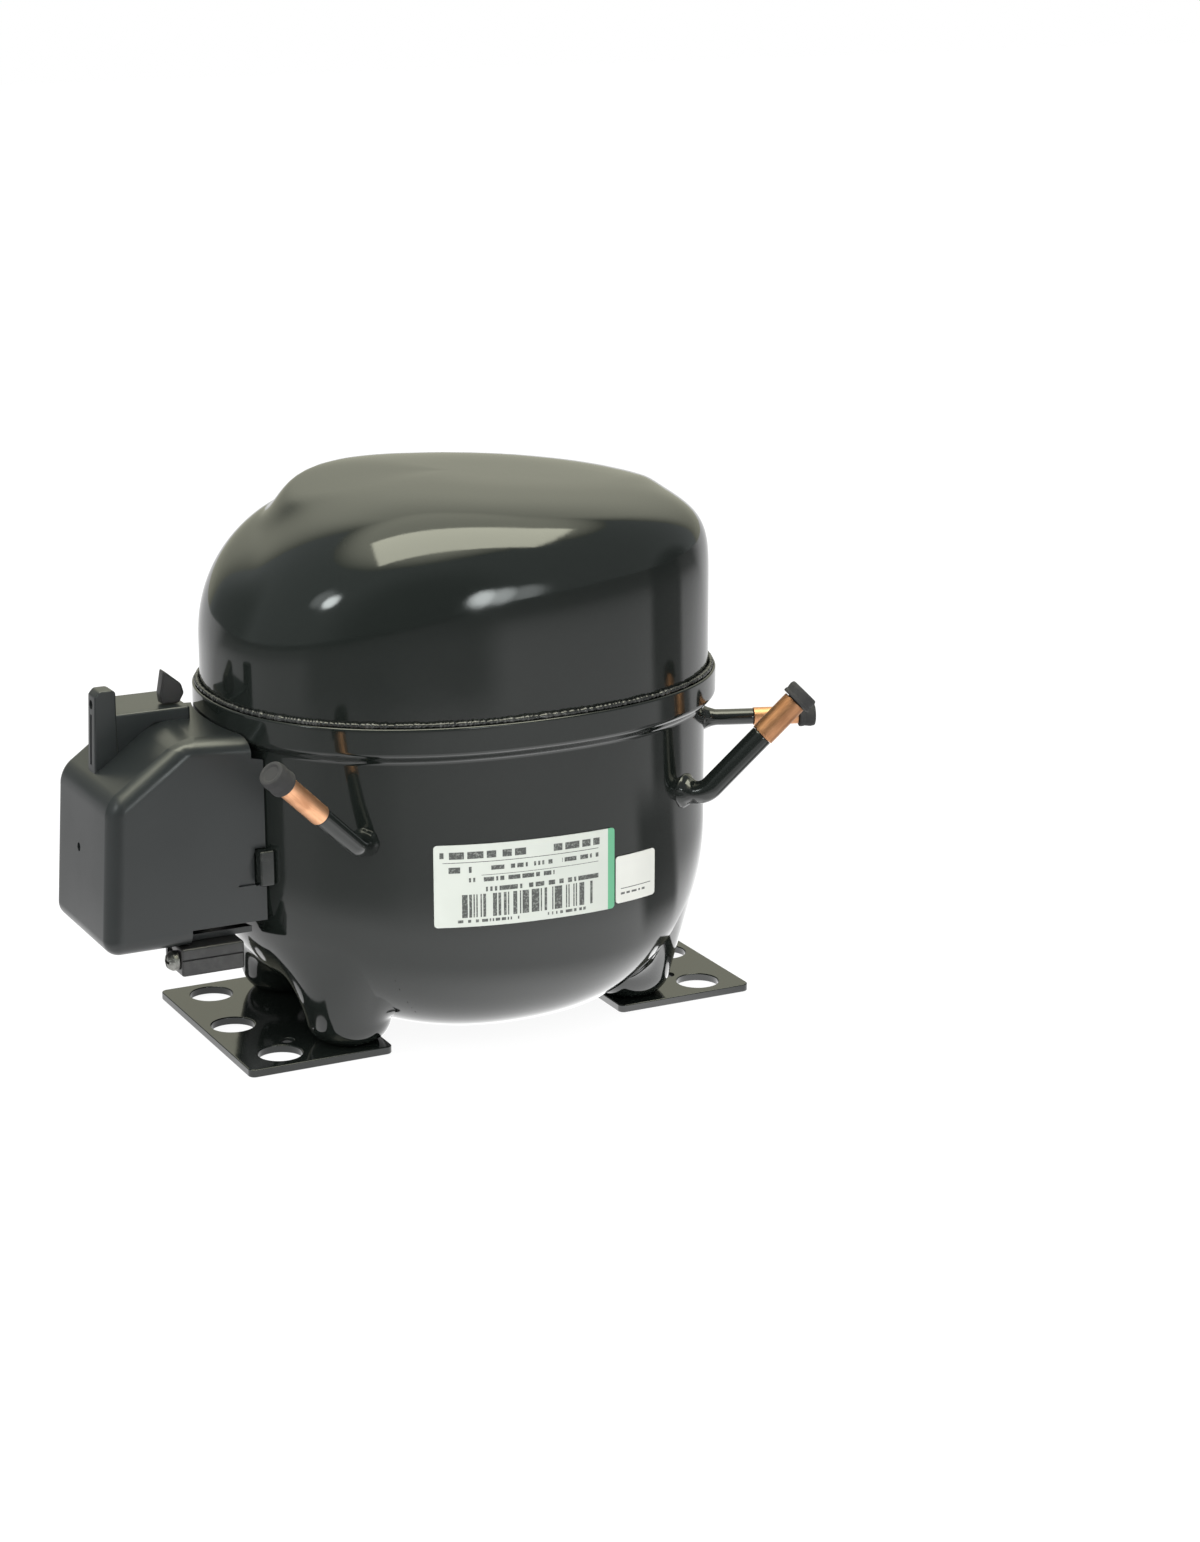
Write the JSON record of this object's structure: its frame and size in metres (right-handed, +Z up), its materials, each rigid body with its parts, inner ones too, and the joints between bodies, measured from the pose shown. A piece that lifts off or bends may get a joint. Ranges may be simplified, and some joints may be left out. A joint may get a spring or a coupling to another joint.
{
  "type": "hermetic reciprocating compressor",
  "caption": "Oval black hermetic compressor with a domed top, welded seam, foot plates, capped copper tube stubs, a terminal cover and a piston pump on springs inside.",
  "frame": {"origin": "middle of the bounding box in X and Y, on the floor under the foot plates", "axes": "+X from the terminal cover to the suction and discharge tubes, +Y away from the labelled side, +Z up"},
  "size_m": [0.2752, 0.1636, 0.2022],
  "materials": {
    "black_enamel": "gloss black enamel with fine orange peel",
    "weld_metal": "uneven weld bead under black enamel",
    "copper": "bare drawn copper, streaky",
    "cap_rubber": "matte dark rubber",
    "cover_plastic": "dark slate moulded plastic, satin",
    "dark_plastic": "black moulded plastic",
    "zinc_steel": "zinc plated",
    "label_paper": "white film label, satin",
    "lamination": "stacked electrical steel",
    "enamelled_wire": "varnished copper winding",
    "cast_iron": "as cast, machined faces",
    "machined_steel": "ground steel",
    "brass": "machined",
    "nylon": "natural moulded plastic",
    "glass_bead": "steel cup with fused glass"
  },
  "bodies": {
    "shell": {"lower_shell": "black_enamel", "upper_shell": "black_enamel", "shell_weld": "weld_metal", "left_foot": "black_enamel", "right_foot": "black_enamel", "front_left_leg": "black_enamel", "rear_left_leg": "black_enamel", "front_right_leg": "black_enamel", "rear_right_leg": "black_enamel", "suction_tube": "black_enamel", "suction_copper_end": "copper", "discharge_tube": "black_enamel", "discharge_copper_end": "copper", "process_tube": "black_enamel", "process_copper_end": "copper", "terminal_fence": "black_enamel", "hermetic_terminal": "glass_bead", "common_pin": "machined_steel", "start_pin": "machined_steel", "run_pin": "machined_steel", "start_relay": "dark_plastic", "overload_protector": "dark_plastic", "earth_screw": "zinc_steel", "rating_label": "label_paper", "inspection_sticker": "label_paper", "left_spring_rail": "black_enamel", "right_spring_rail": "black_enamel", "front_left_spring": "machined_steel", "rear_left_spring": "machined_steel", "front_right_spring": "machined_steel", "rear_right_spring": "machined_steel"},
    "cover": {"terminal_cover": "cover_plastic", "cover_hook": "dark_plastic", "cord_clamp": "dark_plastic", "cord_clamp_screw": "zinc_steel"},
    "pump": {"cylinder_block": "cast_iron", "stator_core": "lamination", "stator_winding": "enamelled_wire", "front_left_stator_bolt": "machined_steel", "rear_left_stator_bolt": "machined_steel", "front_right_stator_bolt": "machined_steel", "rear_right_stator_bolt": "machined_steel", "valve_plate": "machined_steel", "reed_stop": "machined_steel", "cylinder_head": "cast_iron", "suction_muffler": "nylon", "discharge_loop": "machined_steel"},
    "crank": {"crankshaft": "machined_steel", "rotor": "lamination", "oil_pickup": "brass"},
    "slider": {"slide_block": "brass"},
    "jet": {"oil_jet": "brass"},
    "carriage": {"yoke": "machined_steel", "piston": "machined_steel"},
    "suction_leaf": {"suction_reed": "machined_steel"},
    "discharge_leaf": {"discharge_reed": "machined_steel"},
    "suction_plug": {"suction_cap": "cap_rubber"},
    "discharge_plug": {"discharge_cap": "cap_rubber"},
    "process_plug": {"process_cap": "cap_rubber"}
  },
  "joints": [
    {"name": "cover_pull", "type": "slide", "parent": "shell", "child": "cover", "axis": [-1, 0, 0], "range_m": [0, 0.06]},
    {"name": "pump_bounce", "type": "slide", "parent": "shell", "child": "pump", "axis": [0, 0, 1], "range_m": [-0.002, 0.002], "stiffness_N_per_m": 40000, "springref_m": 0.0014, "deforming": ["front_left_spring", "rear_left_spring", "front_right_spring", "rear_right_spring", "discharge_loop"]},
    {"name": "crank_spin", "type": "hinge", "parent": "pump", "child": "crank", "pos_m": [0.00205, 0.00217, 0.12], "axis": [0, 0, 1], "continuous": true},
    {"name": "slide_block_turn", "type": "hinge", "parent": "crank", "child": "slider", "pos_m": [0.01305, 0.00217, 0.151], "axis": [0, 0, 1], "continuous": true},
    {"name": "oil_jet_turn", "type": "hinge", "parent": "crank", "child": "jet", "pos_m": [0.00755, 0.00217, 0.168], "axis": [0, 0, 1], "continuous": true},
    {"name": "yoke_stroke", "type": "hinge", "parent": "jet", "child": "carriage", "pos_m": [0.01305, 0.00217, 0.151], "axis": [0, 0, 1], "continuous": true},
    {"name": "suction_reed_lift", "type": "hinge", "parent": "pump", "child": "suction_leaf", "pos_m": [0.0629, -0.00483, 0.168], "axis": [0, 1, 0], "range_deg": [0, 2], "stiffness_Nm_per_rad": 0.05},
    {"name": "discharge_reed_lift", "type": "hinge", "parent": "pump", "child": "discharge_leaf", "pos_m": [0.0675, 0.00917, 0.168], "axis": [0, -1, 0], "range_deg": [0, 4], "stiffness_Nm_per_rad": 0.05},
    {"name": "suction_cap_pull", "type": "slide", "parent": "shell", "child": "suction_plug", "axis": [0.6889, -0.1846, 0.7009], "range_m": [0, 0.025]},
    {"name": "discharge_cap_pull", "type": "slide", "parent": "shell", "child": "discharge_plug", "axis": [0.9397, -0.342, 0], "range_m": [0, 0.025]},
    {"name": "process_cap_pull", "type": "slide", "parent": "shell", "child": "process_plug", "axis": [-0.6983, -0.2542, 0.6691], "range_m": [0, 0.025]}
  ],
  "couplings": [
    {"joint": "slide_block_turn", "follows": "crank_spin", "ratio": -1},
    {"joint": "oil_jet_turn", "follows": "crank_spin", "ratio": -2},
    {"joint": "yoke_stroke", "follows": "crank_spin", "ratio": 1}
  ]
}
